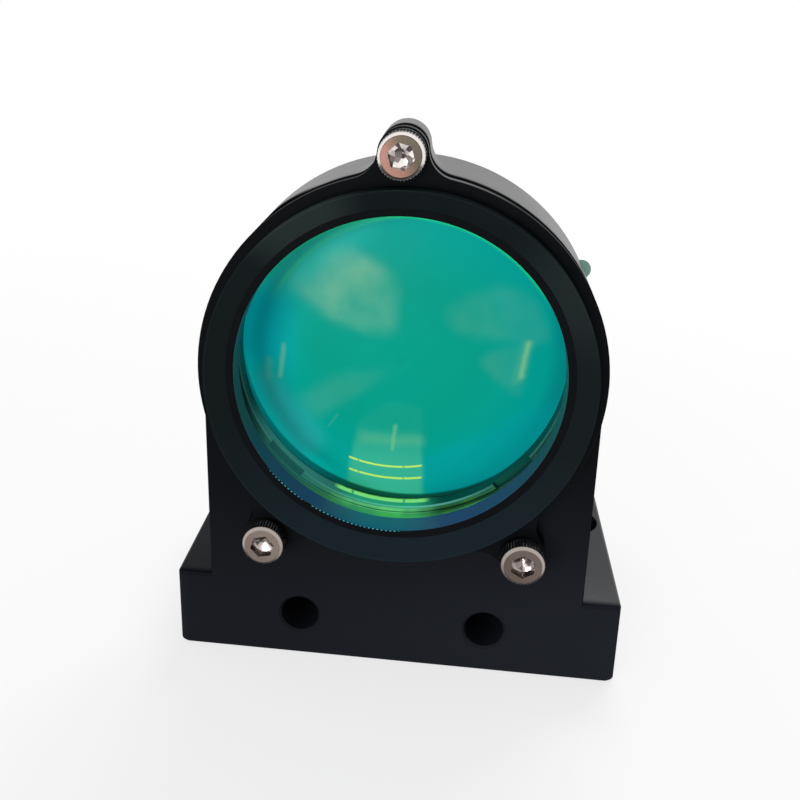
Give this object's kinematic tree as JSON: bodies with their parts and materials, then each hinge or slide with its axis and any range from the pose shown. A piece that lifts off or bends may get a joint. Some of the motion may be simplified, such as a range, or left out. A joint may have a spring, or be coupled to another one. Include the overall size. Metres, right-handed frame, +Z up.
{
  "type": "laser collimating lens",
  "caption": "Collimating lens assembly: coated lenses in a round black housing on a flat bolted foot, with a raised front cover held by three cap screws.",
  "frame": {"origin": "centre of the foot's flat underside", "axes": "+X to the right as seen from the front, +Y from the front cover to the back, +Z up; the lens axis runs along Y 38.4 mm above the origin"},
  "size_m": [0.054, 0.0392, 0.0657],
  "materials": {
    "black_anodised": "milled, black anodised, semi-gloss",
    "black_anodised_turned": "turned, black anodised, fine circular tool marks",
    "coated_glass": "polished, teal antireflection coating",
    "white_ptfe": "matt",
    "seal_rubber": "matt",
    "green_film": "thin translucent green protective film",
    "stainless_steel": "turned stainless steel, knurled",
    "dark_spring_steel": "dark spring steel"
  },
  "bodies": {
    "root": {"holder_body": "black_anodised", "front_cover": "black_anodised_turned", "lens_cell": "black_anodised_turned", "lens_retaining_ring": "black_anodised_turned", "lens_spacer_ring": "black_anodised_turned", "front_lens": "coated_glass", "rear_lens": "coated_glass", "front_cushion_ring": "white_ptfe", "rear_cushion_ring": "white_ptfe", "cover_seal_ring": "seal_rubber", "cell_seal_ring": "seal_rubber", "rear_film": "green_film", "top_screw": "stainless_steel", "left_screw": "stainless_steel", "right_screw": "stainless_steel", "top_lock_washer": "dark_spring_steel", "left_lock_washer": "dark_spring_steel", "right_lock_washer": "dark_spring_steel"}
  },
  "joints": []
}
